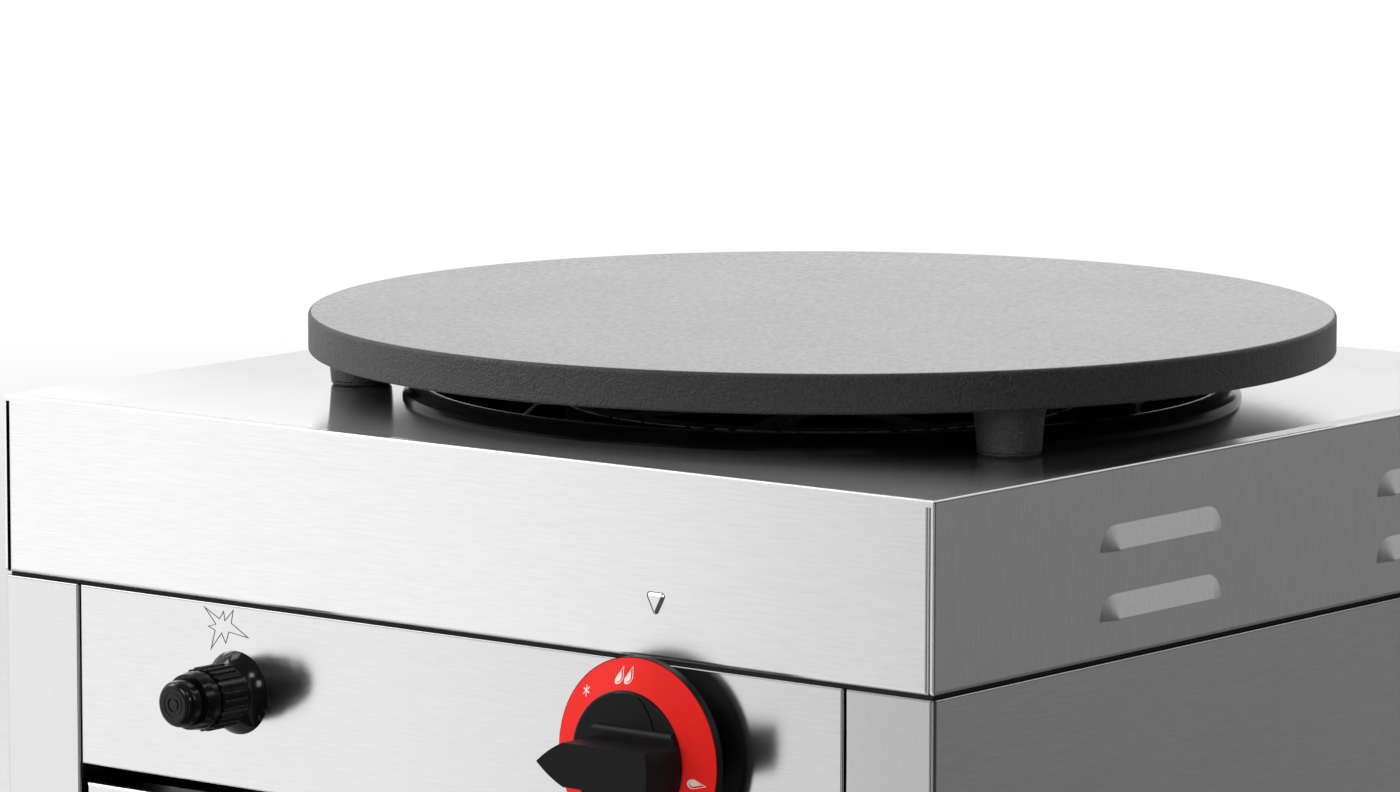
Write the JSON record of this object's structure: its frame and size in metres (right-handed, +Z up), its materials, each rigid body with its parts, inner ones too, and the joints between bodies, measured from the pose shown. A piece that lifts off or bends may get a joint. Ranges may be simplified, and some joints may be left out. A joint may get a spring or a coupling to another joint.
{
  "type": "gas crepe maker",
  "caption": "Countertop gas crepe maker: square stainless cabinet, round cast iron baking plate on three feet, star burner, dial knob, piezo igniter and front drawer.",
  "frame": {"origin": "on the table, under the centre of the whole object's bounding box, which is the centre of the cabinet", "axes": "+X to the right as seen by the user, -Y towards the user (front), +Z up"},
  "size_m": [0.455, 0.5252, 0.2655],
  "materials": {
    "stainless": "fine brushed",
    "plain_steel": "plain rolled",
    "zinc_steel": "zinc plated",
    "spring_steel": "drawn wire",
    "plate_iron": "ground top, fine cast grain on the rim",
    "burner_iron": "rough cast",
    "black_enamel": "glossy vitreous enamel",
    "aluminium": "satin",
    "brass": "machined",
    "copper_brass": "drawn",
    "ceramic": "glazed",
    "seal_rubber": "moulded",
    "lead_jacket": "smooth sleeve",
    "gloss_black": "glossy moulded",
    "knob_black": "fine satin moulded",
    "dial_red": "satin printed",
    "dial_white": "printed",
    "print_black": "printed"
  },
  "bodies": {
    "cabinet": {"hood_shell": "stainless", "hood_gasket": "seal_rubber", "hood_screws": "zinc_steel", "side_panel_left": "stainless", "side_panel_right": "stainless", "back_panel": "stainless", "back_panel_screws": "zinc_steel", "base_pan": "plain_steel", "base_screws": "zinc_steel", "control_panel": "stainless", "panel_screws": "zinc_steel", "heat_shield": "plain_steel", "stud_nuts": "zinc_steel", "rubber_feet": "seal_rubber", "foot_screws": "zinc_steel", "drawer_runner_left": "plain_steel", "drawer_runner_right": "plain_steel", "runner_screws": "zinc_steel", "burner_bowl": "black_enamel", "burner_head": "burner_iron", "venturi_tube": "aluminium", "air_shutter": "plain_steel", "shutter_screw": "brass", "injector": "brass", "burner_bracket": "plain_steel", "tap_body": "brass", "tap_bonnet": "brass", "tap_screws": "zinc_steel", "magnet_unit": "brass", "inlet_pipe": "aluminium", "burner_pipe": "aluminium", "pipe_nuts": "brass", "gas_inlet": "brass", "inlet_locknut": "brass", "thermocouple": "copper_brass", "electrode_ceramic": "ceramic", "electrode_pin": "spring_steel", "ignition_lead": "lead_jacket", "igniter_body": "gloss_black", "igniter_collar": "gloss_black", "spark_mark": "print_black"},
    "plate": {"baking_plate": "plate_iron"},
    "tap_rotor": {"tap_plug": "brass"},
    "knob": {"valve_spindle": "zinc_steel", "spindle_spring": "spring_steel", "control_knob": "knob_black", "dial_ring": "dial_red", "dial_marks": "dial_white", "knob_clip": "zinc_steel"},
    "igniter_push_button": {"igniter_button": "gloss_black", "igniter_spring": "spring_steel"},
    "drawer": {"drawer_tray": "plain_steel", "drawer_front": "stainless", "drawer_handle": "stainless", "handle_screws": "zinc_steel"}
  },
  "joints": [
    {"name": "plate_lift", "type": "slide", "parent": "cabinet", "child": "plate", "axis": [0, 0, 1], "range_m": [0, 0.12]},
    {"name": "knob_turn", "type": "hinge", "parent": "cabinet", "child": "tap_rotor", "pos_m": [0.1, -0.2, 0.1325], "axis": [0, 1, 0], "range_deg": [-101, 90]},
    {"name": "knob_push", "type": "slide", "parent": "tap_rotor", "child": "knob", "axis": [0, 1, 0], "range_m": [0, 0.0035], "stiffness_N_per_m": 2000, "springref_m": -0.002, "deforming": ["spindle_spring"]},
    {"name": "igniter_push", "type": "slide", "parent": "cabinet", "child": "igniter_push_button", "axis": [0, 1, 0], "range_m": [0, 0.005], "stiffness_N_per_m": 1500, "springref_m": -0.002, "deforming": ["igniter_spring"]},
    {"name": "drawer_slide", "type": "slide", "parent": "cabinet", "child": "drawer", "axis": [0, -1, 0], "range_m": [0, 0.29]}
  ]
}
